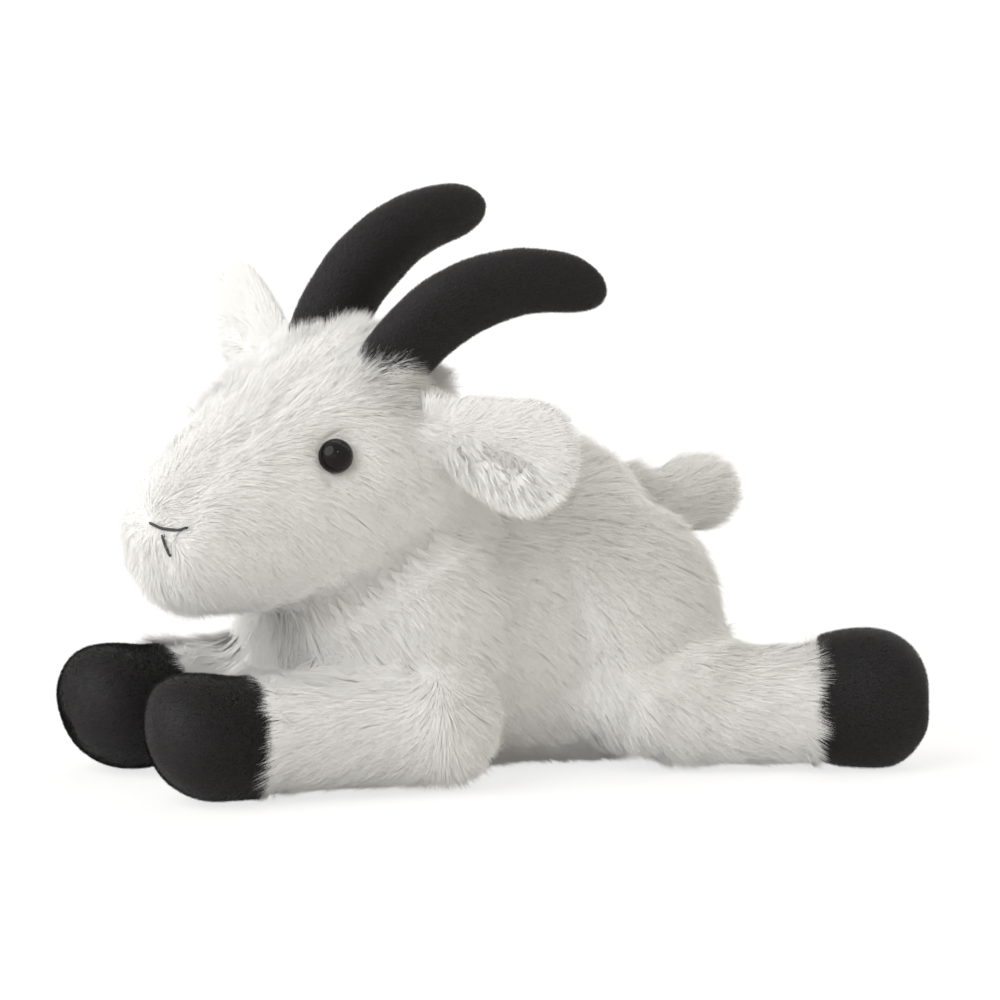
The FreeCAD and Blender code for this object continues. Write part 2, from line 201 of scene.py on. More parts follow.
# finishes: linear colours, grain per metre, bump in metres
# root and tip: the strands darken towards the root as painted shade deep in the pile
longPile = {"root": (0.87, 0.865, 0.85), "tip": (0.975, 0.972, 0.965), "strandSpread": 0.05,
            "roughness": 0.60, "sheen": 0.20}
blackNap = {"root": (0.005, 0.0046, 0.0048), "tip": (0.034, 0.029, 0.030), "strandSpread": 0.45,
            "roughness": 0.55, "sheen": 0.10}
shortPile = {"low": (0.80, 0.79, 0.77), "high": (0.92, 0.915, 0.90), "grain": 900.0, "bump": 0.0006}
velboa = {"low": (0.0045, 0.0042, 0.0045), "high": (0.019, 0.017, 0.017), "grain": 1300.0, "bump": 0.0005}
eyePlastic = {"low": (0.004, 0.003, 0.003), "high": (0.012, 0.009, 0.008), "grain": 260.0, "roughness": 0.03,
              "specular": 0.16}
darkThread = {"low": (0.004, 0.004, 0.004), "high": (0.03, 0.028, 0.028), "grain": 900.0, "bump": 0.0002}
paleThread = {"low": (0.62, 0.61, 0.58), "high": (0.86, 0.85, 0.82), "grain": 900.0, "bump": 0.0002}
fibre = {"low": (0.80, 0.80, 0.79), "high": (0.93, 0.93, 0.92), "grain": 180.0, "roughness": 0.85}
washer = {"low": (0.74, 0.74, 0.72), "high": (0.84, 0.84, 0.82), "grain": 90.0, "roughness": 0.45}


def strandMaterial(name, look):
    material, shop = newMaterial(name)
    uv = shop.add("ShaderNodeUVMap", {"uv_map": "OFBake"})
    strand = shop.add("ShaderNodeSeparateXYZ", {}, {0: uv})  # each strand's own tone
    along = strand.output(1)  # 0 at the root, 1 at the tip
    middle = [0.35 * root + 0.65 * tip for root, tip in zip(look["root"], look["tip"])]
    # painted shade: the colour runs from the darker root, where the pile shades itself, to the bright tip
    rootShadeRamp = shop.add("ShaderNodeValToRGB", {"stops": [
        (0.0, rgb(*look["root"])), (0.5, rgb(*middle)), (1.0, rgb(*look["tip"]))]}, {0: along})
    colour = shop.vector("SCALE", rootShadeRamp, scale=1.0 - look["strandSpread"] * strand)
    shader = shop.add("ShaderNodeBsdfPrincipled", {}, {
        "Base Color": colour, "Roughness": look["roughness"] + 0.12 * strand, "Sheen Weight": look["sheen"],
        "Sheen Roughness": 0.5, "Specular IOR Level": 0.3})
    finishMaterial(shop, shader)
    return material


def clothMaterial(name, look):  # the cloth under the strands
    material, shop = newMaterial(name)
    place = shop.add("ShaderNodeTexCoord", out=3)
    fine = shop.add("ShaderNodeTexNoise", {}, {"Vector": place, "Scale": look["grain"], "Detail": 3.0})
    broad = shop.add("ShaderNodeTexNoise", {}, {
        "Vector": place, "Scale": look["grain"] * 0.09, "Detail": 2.0})
    mask = 0.65 * fine + 0.35 * broad
    colour = shop.mixColour(mask, rgb(*look["low"]), rgb(*look["high"]))
    bump = shop.add("ShaderNodeBump", {}, {"Strength": 0.6, "Distance": look["bump"], "Height": fine})
    shader = shop.add("ShaderNodeBsdfPrincipled", {}, {
        "Base Color": colour, "Roughness": 0.75 + 0.2 * fine, "Normal": bump, "Sheen Weight": 0.3,
        "Sheen Roughness": 0.5, "Specular IOR Level": 0.25})
    finishMaterial(shop, shader)
    return material


def glossMaterial(name, look):
    material, shop = newMaterial(name)
    place = shop.add("ShaderNodeTexCoord", out=3)
    cloud = shop.add("ShaderNodeTexNoise", {}, {"Vector": place, "Scale": look["grain"], "Detail": 4.0})
    colour = shop.mixColour(cloud, rgb(*look["low"]), rgb(*look["high"]))
    shader = shop.add("ShaderNodeBsdfPrincipled", {}, {
        "Base Color": colour, "Roughness": look["roughness"] + 0.04 * cloud,
        "Specular IOR Level": look["specular"]})
    finishMaterial(shop, shader)
    return material


def threadMaterial(name, look):
    material, shop = newMaterial(name)
    place = shop.add("ShaderNodeTexCoord", out=3)
    twist = shop.add("ShaderNodeTexWave", {"wave_type": "BANDS", "bands_direction": "DIAGONAL"},
                     {"Vector": place, "Scale": look["grain"], "Distortion": 2.0, "Detail": 1.0}, 1)
    colour = shop.mixColour(twist, rgb(*look["low"]), rgb(*look["high"]))
    bump = shop.add("ShaderNodeBump", {}, {"Strength": 0.5, "Distance": look["bump"], "Height": twist})
    shader = shop.add("ShaderNodeBsdfPrincipled", {}, {
        "Base Color": colour, "Roughness": 0.45 + 0.2 * twist, "Normal": bump, "Sheen Weight": 0.2})
    finishMaterial(shop, shader)
    return material


def plainMaterial(name, look):
    material, shop = newMaterial(name)
    place = shop.add("ShaderNodeTexCoord", out=3)
    cloud = shop.add("ShaderNodeTexNoise", {}, {"Vector": place, "Scale": look["grain"], "Detail": 3.0})
    colour = shop.mixColour(cloud, rgb(*look["low"]), rgb(*look["high"]))
    shader = shop.add("ShaderNodeBsdfPrincipled", {}, {
        "Base Color": colour, "Roughness": look["roughness"] + 0.1 * cloud})
    finishMaterial(shop, shader)
    return material


def floorMaterial():
    material, shop = newMaterial("paleFloor")
    shade = shop.add("ShaderNodeBsdfDiffuse", {}, {"Color": rgb(*[studio["floorShade"]] * 3)})
    glow = shop.add("ShaderNodeEmission", {}, {"Color": rgb(1, 1, 1), "Strength": studio["floorGlow"]})
    both = shop.add("ShaderNodeAddShader", {}, {0: shade, 1: glow})
    bounce = shop.add("ShaderNodeBsdfDiffuse", {}, {"Color": rgb(*[studio["floorBounce"]] * 3)})
    path = shop.add("ShaderNodeLightPath")
    seen = shop.add("ShaderNodeMath", {"operation": "MAXIMUM"},
                    {0: path, 1: path.output("Is Glossy Ray")})
    mixed = shop.add("ShaderNodeMixShader", {}, {0: seen, 1: bounce, 2: both})
    finishMaterial(shop, mixed)
    return material


def makeStudio():
    world = bpy.data.worlds.new("studio")
    world.use_nodes = True
    scene.world = world
    shop = Shop(world.node_tree)
    path = shop.add("ShaderNodeLightPath")
    seen = path
    for kind in ("Is Glossy Ray", "Is Transmission Ray"):
        seen = shop.add("ShaderNodeMath", {"operation": "MAXIMUM"}, {0: seen, 1: path.output(kind)})
    soft = shop.add("ShaderNodeBackground", {}, {
        "Color": rgb(*studio["worldTint"]), "Strength": studio["worldLight"]})
    white = shop.add("ShaderNodeBackground", {}, {"Color": rgb(1, 1, 1), "Strength": 1.0})
    mixed = shop.add("ShaderNodeMixShader", {}, {0: seen, 1: soft, 2: white})
    shop.add("ShaderNodeOutputWorld", {}, {"Surface": mixed})
    for name, (strength, turn, height, softness) in lamps.items():
        light = bpy.data.lights.new(name, "SUN")
        light.energy = strength
        light.angle = math.radians(softness)
        light.color = studio["lampTint"]
        lamp = bpy.data.objects.new(name, light)
        turn = math.radians(turn)
        rise = math.radians(height)
        towards = Vector((math.sin(turn) * math.cos(rise), -math.cos(turn) * math.cos(rise), math.sin(rise)))
        lamp.matrix_world = towards.to_track_quat("Z", "Y").to_matrix().to_4x4()
        scene.collection.objects.link(lamp)
    mesh = bpy.data.meshes.new("floor")
    reach = studio["floorReach"]
    corners = [(-reach, -reach, 0), (reach, -reach, 0), (reach, reach, 0), (-reach, reach, 0)]
    mesh.from_pydata(corners, [], [(0, 1, 2, 3)])
    floor = bpy.data.objects.new("floor", mesh)
    floor.data.materials.append(floorMaterial())
    scene.collection.objects.link(floor)


makeCamera()
makeStudio()
scene.view_settings.view_transform = "Standard"
pileHair = strandMaterial("longPile", longPile)
napHair = strandMaterial("velboaNap", blackNap)
pileSkin = clothMaterial("pileBacking", shortPile)
blackPile = clothMaterial("blackVelboa", velboa)
eyeGloss = glossMaterial("eyeGloss", eyePlastic)
blackThread = threadMaterial("blackThread", darkThread)
whiteThread = threadMaterial("whiteThread", paleThread)
innerFill = plainMaterial("fibreFill", fibre)
washerPlastic = plainMaterial("washerPlastic", washer)
print("studio and finishes made")


# where things are
def axisOf(name):
    return Vector(joints[name]["axis"]).normalized()


def pivotOf(name):
    return Vector(joints[name]["pos_m"])


def middleOf(node):
    low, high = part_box(node)
    return (Vector(low) + Vector(high)) / 2


sideways = axisOf("horn_left_bend")  # the head's own left
noddingAxis = axisOf("head_nod")
ahead = Vector((noddingAxis.y, -noddingAxis.x, 0)).normalized()  # where the nose points
headUp = sideways.cross(-ahead).normalized()
neck = pivotOf("head_turn")
legAhead = {}  # each leg's direction along the floor, from its joint to its hoof
for leg in ("foreleg_left", "foreleg_right", "hindleg_left", "hindleg_right"):
    run = middleOf(leg + "_hoof_stuffing") - pivotOf(leg + "_splay")
    run.z = 0
    legAhead[leg] = run.normalized()


# a place measured to the left of the neck, behind it and above it, and back again
def fromHead(point):
    offset = Vector(point) - neck
    return offset.dot(sideways), offset.dot(-ahead), offset.dot(headUp)


def toHead(x, y, z):
    return neck + sideways * x - ahead * y + headUp * z


# soft forms
def meshOf(obj):  # what the modifiers make of it, as a plain mesh
    graph = bpy.context.evaluated_depsgraph_get()
    return bpy.data.meshes.new_from_object(obj.evaluated_get(graph))


def newPiece(name, mesh, material=None):
    piece = bpy.data.objects.new(name, mesh)
    scene.collection.objects.link(piece)
    if material:
        mesh.materials.clear()
        mesh.materials.append(material)
    return piece


def drop(obj):
    mesh = obj.data
    bpy.data.objects.remove(obj)
    if mesh.users == 0:
        bpy.data.meshes.remove(mesh)


def largestIsland(mesh):
    bm = bmesh.new()
    bm.from_mesh(mesh)
    unseen = set(bm.verts)
    best = []
    while unseen:
        seed = unseen.pop()
        group = [seed]
        waiting = [seed]
        while waiting:
            vert = waiting.pop()
            for edge in vert.link_edges:
                other = edge.other_vert(vert)
                if other in unseen:
                    unseen.remove(other)
                    group.append(other)
                    waiting.append(other)
        if len(group) > len(best):
            best = group
    keep = set(best)
    bmesh.ops.delete(bm, geom=[vert for vert in bm.verts if vert not in keep], context="VERTS")
    bm.to_mesh(mesh)
    bm.free()


# solids run together into one smooth skin; closing swells it first, so that narrow grooves fill up
def softForm(name, nodes, voxel, rounds, plugs=(), closing=0.0):
    bm = bmesh.new()
    for node in nodes:
        bm.from_mesh(frame["nodes"][node].data)
    for centre, radius in plugs:
        bmesh.ops.create_icosphere(bm, subdivisions=3, radius=radius, matrix=Matrix.Translation(centre))
    mesh = bpy.data.meshes.new(name)
    bm.to_mesh(mesh)
    bm.free()
    obj = newPiece(name + "Raw", mesh)
    remesh = obj.modifiers.new("remesh", "REMESH")
    remesh.mode = "VOXEL"
    remesh.voxel_size = voxel
    if closing:
        swell = obj.modifiers.new("swell", "DISPLACE")
        swell.mid_level = 0.0
        swell.strength = closing
        remesh = obj.modifiers.new("remeshSwollen", "REMESH")
        remesh.mode = "VOXEL"
        remesh.voxel_size = voxel
    smooth = obj.modifiers.new("smooth", "SMOOTH")
    smooth.factor = 0.5
    smooth.iterations = rounds
    out = meshOf(obj)
    drop(obj)
    largestIsland(out)
    out.name = name
    return out


def vectorsOf(items, name):
    values = np.empty(len(items) * 3, np.float32)
    items.foreach_get(name, values)
    return values.reshape(-1, 3).astype(float)


def coordinates(mesh):
    return vectorsOf(mesh.vertices, "co")


def vertexNormals(mesh):
    return vectorsOf(mesh.vertices, "normal")


def faceCentres(mesh):
    return vectorsOf(mesh.polygons, "center")


def setCoordinates(mesh, values):
    mesh.vertices.foreach_set("co", np.asarray(values, np.float32).ravel())
    mesh.update()


def setSmooth(mesh):
    mesh.polygons.foreach_set("use_smooth", np.ones(len(mesh.polygons), bool))


def unit(values):
    return values / np.maximum(np.linalg.norm(values, axis=1, keepdims=True), 1e-9)


def inSkin(directions, normals):  # the part of each direction that lies along the skin
    return unit(directions - normals * (directions * normals).sum(axis=1, keepdims=True))


def farFrom(spot, points):
    return np.linalg.norm(points - np.array(spot), axis=1)


def blendTo(value, low, high):  # a smooth step from 0 to 1
    share = np.clip((value - low) / (high - low), 0.0, 1.0)
    return share * share * (3 - 2 * share)


def fading(distance, reach):  # 1 at the place itself, falling to 0
    return np.exp(-(distance / reach) ** 2)


def unevenness(points, size, seed):
    shift = Vector((seed * 3.1, seed * 1.7, seed * 0.9))
    return np.array([noise.noise(Vector(point) / size + shift) for point in points])


def camel(words):
    first, *rest = words.split("_")
    return first + "".join(word.title() for word in rest)


# which panel of cloth each part of the surface belongs to
def treeOf(points):
    tree = KDTree(len(points))
    for index, point in enumerate(points):
        tree.insert(point, index)
    tree.balance()
    return tree


def labelTree(nodes, step):
    points = []
    labels = []
    for node in nodes:
        own = coordinates(frame["nodes"][node].data)[::step]
        points.append(own)
        labels += [node] * len(own)
    return treeOf(np.concatenate(points)), labels


def nearestLabels(mesh, tree, labels):
    return [labels[tree.find(centre)[1]] for centre in faceCentres(mesh)]


def awayFrom(tree, points):  # direction and distance from the nearest point of the tree
    nearest = np.array([tuple(tree.find(point)[0]) for point in points])
    away = points - nearest
    return away, np.linalg.norm(away, axis=1)


def seamTree(mesh, faceLabels):  # the middles of the edges where two panels meet
    owners = {}
    for face, label in zip(mesh.polygons, faceLabels):
        for key in face.edge_keys:
            owners.setdefault(key, set()).add(label)
    places = coordinates(mesh)
    return treeOf(np.array([places[list(key)].mean(axis=0) for key, held in owners.items() if len(held) > 1]))


threadLook = {"radius": 0.00052, "sides": 8, "rise": 0.0009, "dip": 0.0030, "dipShare": 0.4, "twist": 0.00007,
              "pitch": 0.0011, "pace": 0.0011, "sample": 12, "step": 0.0004, "smoothing": 12, "settling": 40}


def pathThrough(node, along):  # the middle line of a stitch, which runs along one of the head's directions
    local = np.array([fromHead(point) for point in coordinates(frame["nodes"][node].data)])
    low = local[:, along].min() + threadLook["radius"]
    high = local[:, along].max() - threadLook["radius"]
    path = []
    for edge in np.linspace(low, high, max(3, round((high - low) / threadLook["pace"]))):
        nearest = np.argsort(np.abs(local[:, along] - edge))[:threadLook["sample"]]
        close = local[nearest].mean(axis=0)
        close[along] = edge
        path.append(toHead(*close))
    return path


faceForm = {"eyeDepth": 0.0045, "noseDrop": 0.006}
stitchPaths = {"nose": pathThrough("nose_stitch", 0), "mouth": pathThrough("mouth_stitch", 2)}
stitchTree = treeOf(np.array([tuple(point) for path in stitchPaths.values() for point in path]))
nose = fromHead(middleOf("nose_stitch") - Vector((0, 0, faceForm["noseDrop"])))
hoofStart = {}  # how far along each leg its hoof begins
for leg, run in legAhead.items():
    cover = coordinates(frame["nodes"][leg + "_hoof_cover"].data)
    hoofStart[leg] = ((cover - np.array(pivotOf(leg + "_splay"))) @ np.array(run)).min()
eyeSpots = {}  # where each eye's dome meets the cloth
for side in ("left", "right"):
    seat = middleOf("eye_washer_" + side)
    outward = (middleOf("eye_" + side) - seat).normalized()
    dome = coordinates(frame["nodes"]["eye_" + side].data)
    top = ((dome - np.array(seat)) @ np.array(outward)).max()
    eyeSpots[side] = seat + outward * (top - faceForm["eyeDepth"])


# the white cloth: head, body, legs and tail as one skin
form = {"voxel": 0.0026, "smoothing": 9, "closing": 0.0036, "skinDepth": 0.0026, "lump": 0.0009,
        "lumpSize": 0.026, "floorGap": 0.0012, "labelStep": 7, "fill": 0.7, "overlap": 0.006,
        "shareSmoothing": 4, "shareStep": 0.00012}
seamLook = {"depth": 0.0012, "reach": 0.0042, "haunchStart": 0.018, "haunchSlope": 0.12,
            "haunchHeight": 0.045, "haunchSides": (0.030, 0.045)}
lipLook = {"depth": 0.0014, "reach": 0.0032, "puff": 0.0022, "spread": 0.0085}
socketLook = {"depth": 0.0010, "reach": (0.006, 0.016)}
plugLook = {"horn": 0.0118, "ear": 0.0075, "earRun": 0.002, "tail": (0.0, -0.009, 0.004, 0.0135),
            "haunch": ((-0.003, -0.014, 0.002, 0.0215), (-0.007, -0.025, 0.004, 0.0170),
                       (0.002, 0.005, 0.007, 0.0215))}  # offsets from the joint, then the radius


def jointPlugs():  # balls that fill the hollows where horns, ears, hind legs and tail join on
    plugs = []
    for side in ("left", "right"):
        plugs.append((pivotOf("horn_" + side + "_bend"), plugLook["horn"]))
        root = pivotOf("ear_" + side + "_flap")
        run = (middleOf("ear_lining_" + side) - root).normalized()
        plugs.append((root + run * plugLook["earRun"], plugLook["ear"]))
        hip = pivotOf("hindleg_" + side + "_splay")
        outer = 1 if hip.x > 0 else -1
        for x, y, z, radius in plugLook["haunch"]:
            plugs.append((hip + Vector((x * outer, y, z)), radius))
    x, y, z, radius = plugLook["tail"]
    plugs.append((pivotOf("tail_wag") + Vector((x, y, z)), radius))
    return plugs


def pressSkin(mesh):  # sinks the skin by the pile's depth, with seams, lips and eye sockets
    points = coordinates(mesh)
    depth = form["skinDepth"] - form["lump"] * unevenness(points, form["lumpSize"], 3)
    depth += seamLook["depth"] * fading(awayFrom(seamTree(mesh, faceLabels), points)[1], seamLook["reach"])
    slant = seamLook["haunchSlope"] * (seamLook["haunchHeight"] - points[:, 2])
    haunch = fading(points[:, 1] - seamLook["haunchStart"] - slant, seamLook["reach"])
    depth += seamLook["depth"] * haunch * blendTo(np.abs(points[:, 0]), *seamLook["haunchSides"])
    depth += lipLook["depth"] * fading(awayFrom(stitchTree, points)[1], lipLook["reach"])
    for spot in eyeSpots.values():
        depth += socketLook["depth"] * (1.0 - blendTo(farFrom(spot, points), *socketLook["reach"]))
    mouth = sum(stitchPaths["mouth"], Vector()) / len(stitchPaths["mouth"])
    for side in (-1, 1):
        lip = mouth + sideways * side * lipLook["spread"]
        depth -= lipLook["puff"] * fading(farFrom(lip, points), lipLook["spread"])
    points -= vertexNormals(mesh) * depth[:, None]
    points[:, 2] = np.maximum(points[:, 2], form["floorGap"])
    setCoordinates(mesh, points)
    setSmooth(mesh)


whiteBodies = {}  # the white nodes of each body
notWhite = ("ear", "horn", "eye", "nose", "mouth", "neck")
for node, obj in frame["nodes"].items():
    if not (node.startswith(notWhite) or "hoof" in node or "stitch" in node):
        whiteBodies.setdefault(obj["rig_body"], []).append(node)
whiteNodes = [node for nodes in whiteBodies.values() for node in nodes]
skinNodes = [node for node in whiteNodes if "stuffing" not in node and "bag" not in node]
whole = softForm("whole", whiteNodes, form["voxel"], form["smoothing"], jointPlugs(), form["closing"])
setCoordinates(whole, coordinates(whole) - vertexNormals(whole) * form["closing"])
faceLabels = nearestLabels(whole, *labelTree(skinNodes, form["labelStep"]))
pressSkin(whole)
skinSurface = BVHTree.FromPolygons([vert.co for vert in whole.vertices],
                                   [tuple(face.vertices) for face in whole.polygons])
print("whole form", len(whole.vertices), "points")


# one body's share of the whole form, as a closed cushion
def closedShare(name, nodes, depth):
    own = softForm(name + "Own", nodes, form["voxel"], form["shareSmoothing"])
    setCoordinates(own, coordinates(own) + vertexNormals(own) * form["overlap"])
    cutter = newPiece(name + "Cutter", own)
    inner = whole.copy()
    setCoordinates(inner, coordinates(inner) - vertexNormals(inner) * depth)
    piece = newPiece(name + "Raw", inner)
    trim = piece.modifiers.new("trim", "BOOLEAN")
    trim.operation = "INTERSECT"
    trim.solver = "MANIFOLD"
    trim.object = cutter
    mesh = meshOf(piece)
    drop(piece)
    drop(cutter)
    setSmooth(mesh)
    mesh.name = name
    return newPiece(name, mesh, pileSkin)


def putAttribute(mesh, name, values):
    if values.ndim == 2:
        store = mesh.attributes.new(name, "FLOAT_VECTOR", "POINT")
        store.data.foreach_set("vector", values.astype(np.float32).ravel())
    else:
        store = mesh.attributes.new(name, "FLOAT", "POINT")
        store.data.foreach_set("value", values.astype(np.float32))


def dressSkin(mesh, comb, normals, pile, thick):  # what the strands read: their run, length and number
    putAttribute(mesh, "comb", comb)
    putAttribute(mesh, "skinNormal", normals)
    putAttribute(mesh, "pile", pile)
    putAttribute(mesh, "thick", thick)


def part(mesh, name, keepFace):  # a copy of the chosen faces
    bm = bmesh.new()
    bm.from_mesh(mesh)
    bm.faces.ensure_lookup_table()
    gone = [face for face, keep in zip(bm.faces, keepFace) if not keep]
    bmesh.ops.delete(bm, geom=gone, context="FACES")
    out = bpy.data.meshes.new(name)
    bm.to_mesh(out)
    bm.free()
    return out


# strands: one flat triangle each, scattered over a skin
def strandTree():
    tree = bpy.data.node_groups.new("pileStrands", "GeometryNodeTree")
    shop = Shop(tree)
    tree.interface.new_socket("Skin", in_out="INPUT", socket_type="NodeSocketGeometry")
    for name, value in (("Density", 1e6), ("Length", 0.007), ("Width", 0.0003), ("Lift", 0.6), ("Stray", 0.2),
                        ("Wave", 0.3), ("Wave Size", 0.012), ("Clump", 0.3), ("Clump Size", 0.004)):
        tree.interface.new_socket(name, in_out="INPUT", socket_type="NodeSocketFloat").default_value = value
    tree.interface.new_socket("Seed", in_out="INPUT", socket_type="NodeSocketInt").default_value = 1
    tree.interface.new_socket("Finish", in_out="INPUT", socket_type="NodeSocketMaterial")
    tree.interface.new_socket("Strands", in_out="OUTPUT", socket_type="NodeSocketGeometry")
    first = shop.add("NodeGroupInput")
    given = {socket.name: Wire(shop, socket) for socket in first.socket.node.outputs}

    def named(name, kind):
        return shop.add("GeometryNodeInputNamedAttribute", {"data_type": kind}, {"Name": name})

    def randomValue(low, high, shift):
        return shop.add("FunctionNodeRandomValue", {"data_type": "FLOAT"},
                        {2: low, 3: high, "Seed": given["Seed"] + shift}, 1)

    comb = named("comb", "FLOAT_VECTOR")
    normal = named("skinNormal", "FLOAT_VECTOR")
    pile = named("pile", "FLOAT")
    thick = named("thick", "FLOAT")
    points = shop.add("GeometryNodeDistributePointsOnFaces", {"distribute_method": "RANDOM"},
                      {"Mesh": given["Skin"], "Density": given["Density"] * thick, "Seed": given["Seed"]})
    points = shop.add("GeometryNodeStoreNamedAttribute", {"data_type": "FLOAT", "domain": "POINT"},
                      {"Geometry": points, "Name": "strand", "Value": randomValue(0.0, 1.0, 11)})
    place = shop.add("GeometryNodeInputPosition")
    wave = shop.add("ShaderNodeTexNoise", {}, {
        "Vector": place, "Scale": 1.0 / given["Wave Size"], "Detail": 2.0}, 1)
    wave = shop.vector("SCALE", shop.vector("SUBTRACT", wave, (0.5, 0.5, 0.5)), scale=2.0 * given["Wave"])
    cell = shop.add("ShaderNodeTexVoronoi", {}, {"Vector": place, "Scale": 1.0 / given["Clump Size"]}, 2)
    gather = shop.vector("SUBTRACT", cell, place)
    gather = shop.vector("SCALE", gather, scale=given["Clump"] / given["Length"])
    loose = shop.add("ShaderNodeCombineXYZ", {}, {0: randomValue(-1.0, 1.0, 1), 1: randomValue(-1.0, 1.0, 2),
                                                  2: randomValue(-1.0, 1.0, 3)})
    loose = shop.vector("SCALE", loose, scale=given["Stray"] * (0.7 + 3.5 * randomValue(0.0, 1.0, 9) ** 7.0))
    rise = shop.add("ShaderNodeMath", {"operation": "SINE"}, {0: given["Lift"]})
    run = shop.add("ShaderNodeMath", {"operation": "COSINE"}, {0: given["Lift"]})
    direction = shop.vector("SCALE", comb, scale=run)
    direction = shop.vector("ADD", direction, shop.vector("SCALE", normal, scale=rise))
    for extra in (wave, gather, loose):
        direction = shop.vector("ADD", direction, extra)
    facing = shop.vector("ADD", normal, shop.vector("SCALE", loose, scale=2.0))
    rotation = shop.add("FunctionNodeAxesToRotation", {"primary_axis": "Y", "secondary_axis": "Z"},
                        {0: direction, 1: facing})
    # a triangle, turned so that its base lies across the strand and its tip is 1 along it
    blade = shop.add("GeometryNodeMeshCircle", {"fill_type": "NGON"}, {"Vertices": 3, "Radius": 1.0})
    corner = shop.add("ShaderNodeSeparateXYZ", {}, {0: shop.add("GeometryNodeInputPosition")})
    along = (corner + 0.5) / 1.5
    across = 0.0 - corner.output(1) / 1.7320508
    for name, value in (("along", along), ("across", across)):
        blade = shop.add("GeometryNodeStoreNamedAttribute", {"data_type": "FLOAT", "domain": "POINT"},
                         {"Geometry": blade, "Name": name, "Value": value})
    shape = shop.add("ShaderNodeCombineXYZ", {}, {
        0: named("across", "FLOAT"), 1: named("along", "FLOAT"), 2: 0.0})
    blade = shop.add("GeometryNodeSetPosition", {}, {"Geometry": blade, "Position": shape})
    length = given["Length"] * pile * randomValue(0.7, 1.12, 5)
    size = shop.add("ShaderNodeCombineXYZ", {}, {
        0: given["Width"] * randomValue(0.7, 1.3, 6), 1: length, 2: length})
    strands = shop.add("GeometryNodeInstanceOnPoints", {}, {
        "Points": points, "Instance": blade, "Rotation": rotation, "Scale": size})
    strands = shop.add("GeometryNodeRealizeInstances", {}, {"Geometry": strands})
    tone = 0.02 + 0.96 * named("strand", "FLOAT") + 0.03 * named("across", "FLOAT")
    uv = shop.add("ShaderNodeCombineXYZ", {}, {0: tone, 1: named("along", "FLOAT")})
    strands = shop.add("GeometryNodeStoreNamedAttribute", {"data_type": "FLOAT2", "domain": "CORNER"},
                       {"Geometry": strands, "Name": "OFBake", "Value": uv})
    strands = shop.add("GeometryNodeSetMaterial", {}, {"Geometry": strands, "Material": given["Finish"]})
    shop.add("NodeGroupOutput", {}, {0: strands})
    return tree


pileTree = strandTree()
strandTotal = [0, 0]
growth = {"most": 190000, "quickShare": 0.4, "floorGap": 0.0003}


def growPile(name, skin, look, finish, seed, most=growth["most"]):
    obj = newPiece(name + "Skin", skin)
    area = sum(face.area for face in skin.polygons)
    density = look["density"] * 1.0
    density = min(density, most / max(area, 1e-9))
    width = look["width"] * math.sqrt(look["density"] / density)  # fewer strands are wider
    modifier = obj.modifiers.new("pile", "NODES")
    modifier.node_group = pileTree
    values = {"Density": density, "Length": look["length"], "Width": width, "Lift": look["lift"],
              "Stray": look["stray"], "Wave": look["wave"], "Wave Size": look["waveSize"],
              "Clump": look["clump"], "Clump Size": look["clumpSize"], "Seed": seed, "Finish": finish}
    for socket in pileTree.interface.items_tree:
        if socket.name in values:
            modifier[socket.identifier] = values[socket.name]
    mesh = meshOf(obj)
    drop(obj)
    mesh.name = name
    points = coordinates(mesh)
    points[:, 2] = np.maximum(points[:, 2], growth["floorGap"])
    setCoordinates(mesh, points)
    normals = vectorsOf(mesh.attributes["skinNormal"].data, "vector")
    own = vertexNormals(mesh)
    own *= np.sign((own * normals).sum(axis=1, keepdims=True) + 1e-9)
    normals = unit(normals * look["softness"] + own * (1.0 - look["softness"]))
    for attribute in ("skinNormal", "comb", "pile", "thick", "strand", "along", "across"):
        if attribute in mesh.attributes:
            mesh.attributes.remove(mesh.attributes[attribute])
    setSmooth(mesh)
    mesh.normals_split_custom_set_from_vertices(normals.tolist())
    piece = newPiece(name, mesh, finish)
    strandTotal[0] += len(mesh.polygons)
    strandTotal[1] += 1
    print(name, "area mm2", round(area * 1e6), "strands", len(mesh.polygons))
    return piece


longLook = {"density": 7.5e6, "length": 0.0098, "width": 0.00024, "lift": 0.33, "stray": 0.10, "wave": 0.20,
            "waveSize": 0.026, "clump": 0.24, "clumpSize": 0.0055, "softness": 0.90}
innerLook = dict(longLook, density=4.0e6, length=0.0060, width=0.00032, reach=0.0015, most=60000)
faceLook = dict(longLook, density=8.5e6, length=0.0088, width=0.00021, wave=0.20, clump=0.16)

# how the pile is brushed: a pair says where a change starts and ends, a single value is mostly a share
brush = {"uneven": 0.30, "unevenSize": 0.0075,
         "brow": 0.25, "cheek": 0.55, "back": 0.85, "spine": 0.15, "flank": 0.75, "tail": (0.0, 1.0, 0.05),
         "shoulder": (-0.012, 0.020), "shoulderDown": 0.9, "legDown": 0.28,
         "ear": (0.014, 0.028), "earLose": 0.75, "earGain": 0.9,
         "muzzle": (0.062, 0.092), "muzzleShort": 0.20, "lips": (0.006, 0.016), "lipsShort": 0.40,
         "parting": (0.0010, 0.0060), "partingLose": 0.8, "partingGain": 0.9, "partingShort": 0.45,
         "stitch": (0.0003, 0.0014), "stitchThin": 0.15,
         "lid": (0.007, 0.014), "lidLose": 0.50, "lidGain": 0.50, "lidShort": 0.55, "dome": (0.0052, 0.0060),
         "tuftSide": (0.0, 0.006), "tuftStart": (0.004, 0.006), "tuftEnd": (0.014, 0.022), "tuftRise": 0.80,
         "tuftLength": 1.05, "chin": (0.050, 0.075), "chinFacing": (0.1, 0.7), "chinRise": 0.45,
         "horn": (0.016, 0.026), "hornRise": 0.62, "rim": (0.009, 0.001), "rimRise": 0.45,
         "belly": (0.75, 0.95), "bellyHeight": (0.001, 0.006), "low": (0.0, 0.010), "lowLength": 0.35}
backward = -np.array(ahead)
down = np.array((0.0, 0.0, -1.0))
